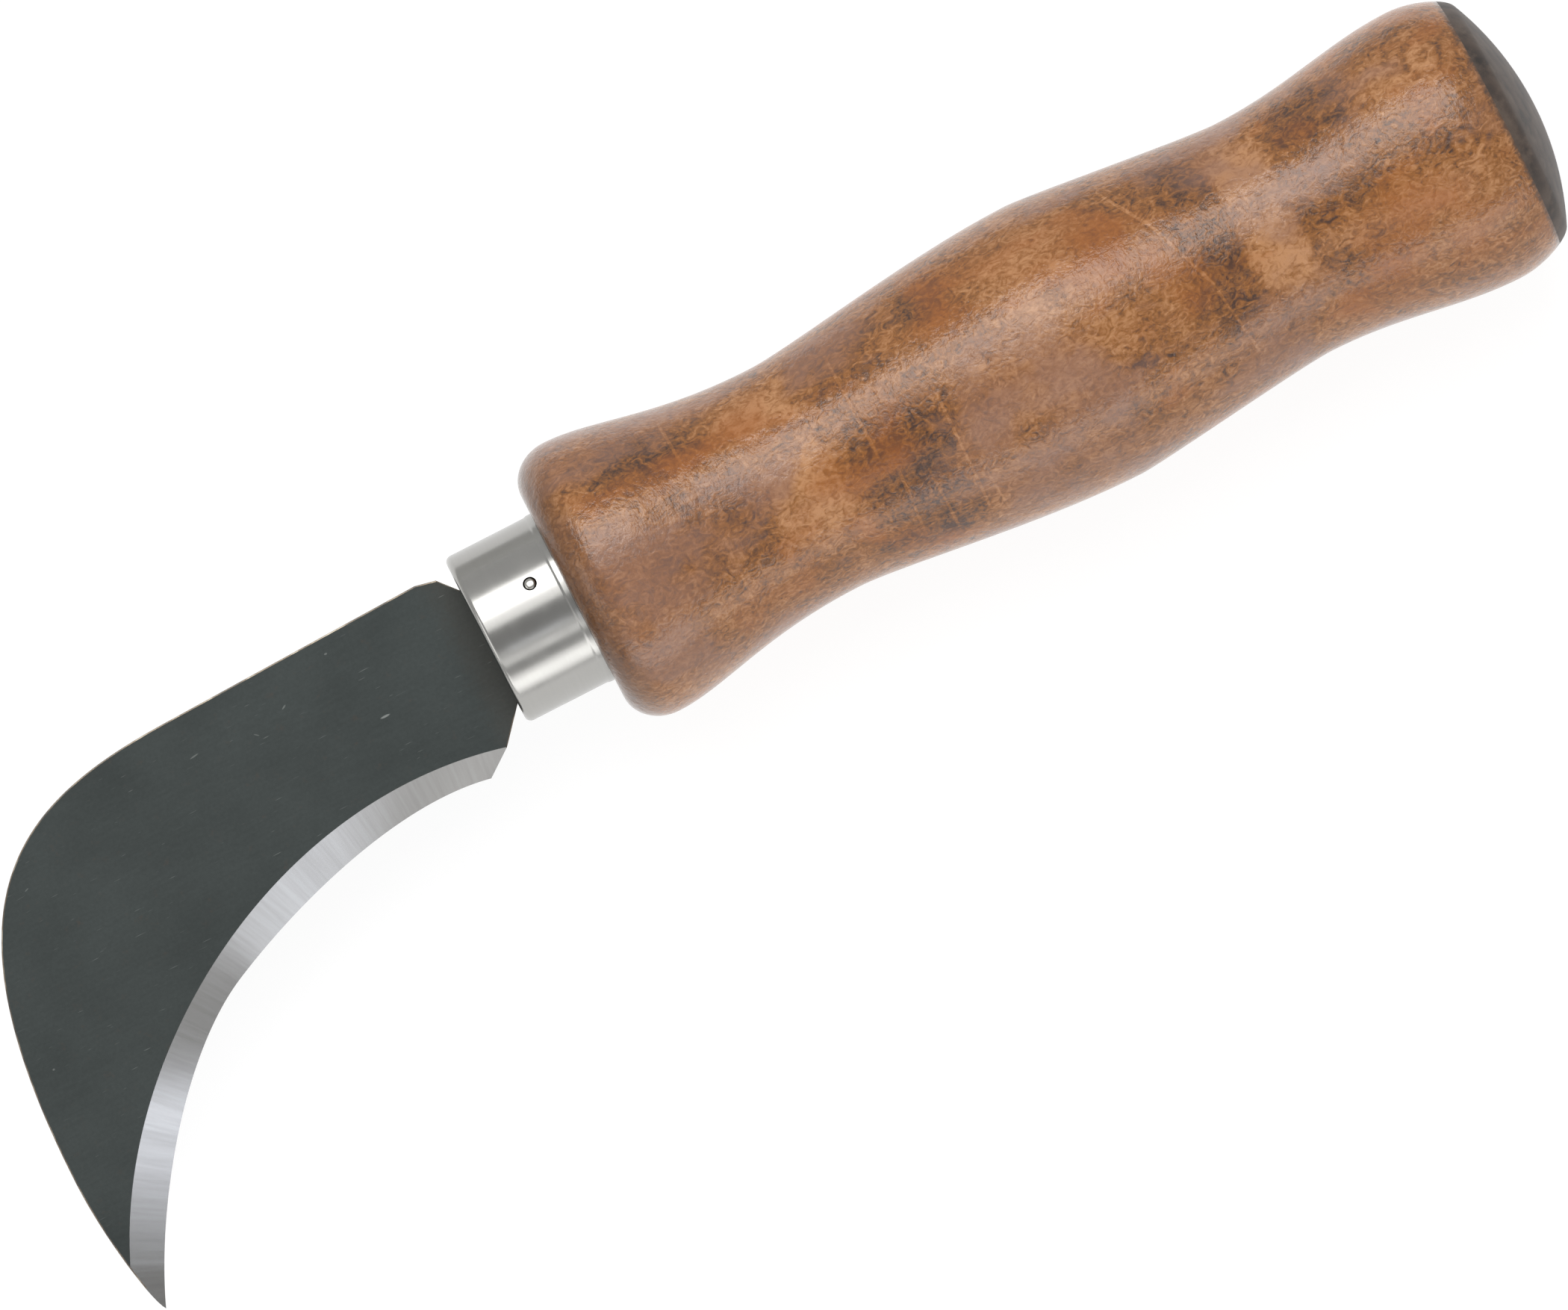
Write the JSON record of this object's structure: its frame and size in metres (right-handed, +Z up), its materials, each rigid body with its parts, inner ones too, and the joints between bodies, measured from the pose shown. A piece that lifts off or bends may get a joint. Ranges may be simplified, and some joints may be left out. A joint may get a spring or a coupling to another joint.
{
  "type": "hook-bladed knife",
  "caption": "Fixed-blade hand knife with a flat hooked blade sharpened inside the curve, a bright ferrule and a turned wooden handle with two waists.",
  "frame": {"origin": "centre of the bounding box, at its lowest point, with the knife lying on its side and the blade level", "axes": "+X along the handle's centre line towards the blade, +Y across towards the hook's point, +Z up, square to the blade's flat"},
  "size_m": [0.1894, 0.0632, 0.0318],
  "materials": {
    "blade_steel": "dark heat-treated carbon steel, satin, with bright ground bevels",
    "bright_plate": "polished bright plating on drawn steel",
    "pin_steel": "bright wire",
    "stained_hardwood": "turned, brown stain, semi-gloss lacquer, dark end grain at the butt"
  },
  "bodies": {
    "root": {"blade": "blade_steel", "ferrule": "bright_plate", "ferrule_pin": "pin_steel", "handle": "stained_hardwood"}
  },
  "joints": []
}
